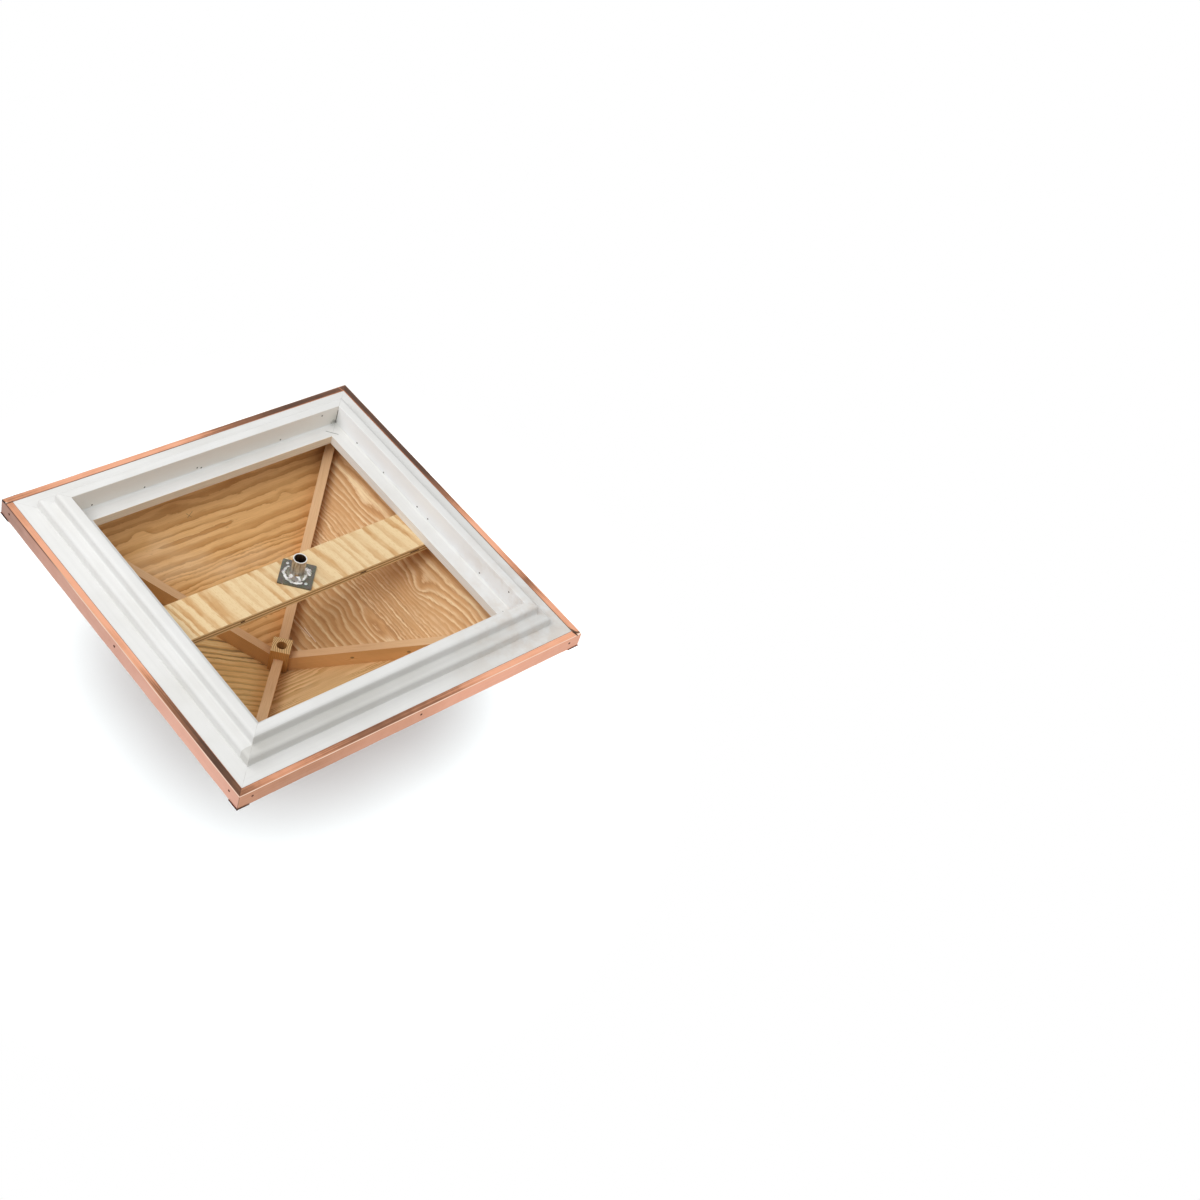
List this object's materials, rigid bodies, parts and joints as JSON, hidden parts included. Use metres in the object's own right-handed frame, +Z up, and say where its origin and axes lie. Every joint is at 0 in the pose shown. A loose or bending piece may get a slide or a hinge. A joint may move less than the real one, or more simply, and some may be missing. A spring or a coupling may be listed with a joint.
{
  "type": "cupola roof section",
  "caption": "Copper-clad pyramid roof section of a barn cupola, with mitred white soffit and stepped collar, hip rafters, hub, cross beam and weathervane rod bracket.",
  "frame": {"origin": "centre of the collar's lowest face, on the cupola's vertical axis", "axes": "+Z up along the axis to the apex; X along the cross beam; Y across it, -Y is the front"},
  "size_m": [0.7824, 0.7824, 0.3819],
  "materials": {
    "white_paint": "satin white paint on trim boards",
    "plywood": "bare softwood plywood",
    "planed_wood": "bare planed softwood",
    "hub_wood": "bare end grain",
    "copper": "bright folded sheet copper, slightly dulled",
    "galvanised_steel": "dark galvanised, bright weld"
  },
  "bodies": {
    "root": {"soffit_board_front": "white_paint", "collar_moulding_front": "white_paint", "plywood_panel_front": "plywood", "copper_panel_front": "copper", "soffit_board_right": "white_paint", "collar_moulding_right": "white_paint", "plywood_panel_right": "plywood", "copper_panel_right": "copper", "soffit_board_back": "white_paint", "collar_moulding_back": "white_paint", "plywood_panel_back": "plywood", "copper_panel_back": "copper", "soffit_board_left": "white_paint", "collar_moulding_left": "white_paint", "plywood_panel_left": "plywood", "copper_panel_left": "copper", "hip_rafter_front_right": "planed_wood", "hip_cap_front_right": "copper", "hip_rafter_back_right": "planed_wood", "hip_cap_back_right": "copper", "hip_rafter_back_left": "planed_wood", "hip_cap_back_left": "copper", "hip_rafter_front_left": "planed_wood", "hip_cap_front_left": "copper", "hub_block": "hub_wood", "cross_beam": "plywood", "bracket_plate": "galvanised_steel", "rod_socket": "galvanised_steel", "apex_flashing": "copper", "rod_ferrule": "copper"}
  },
  "joints": []
}
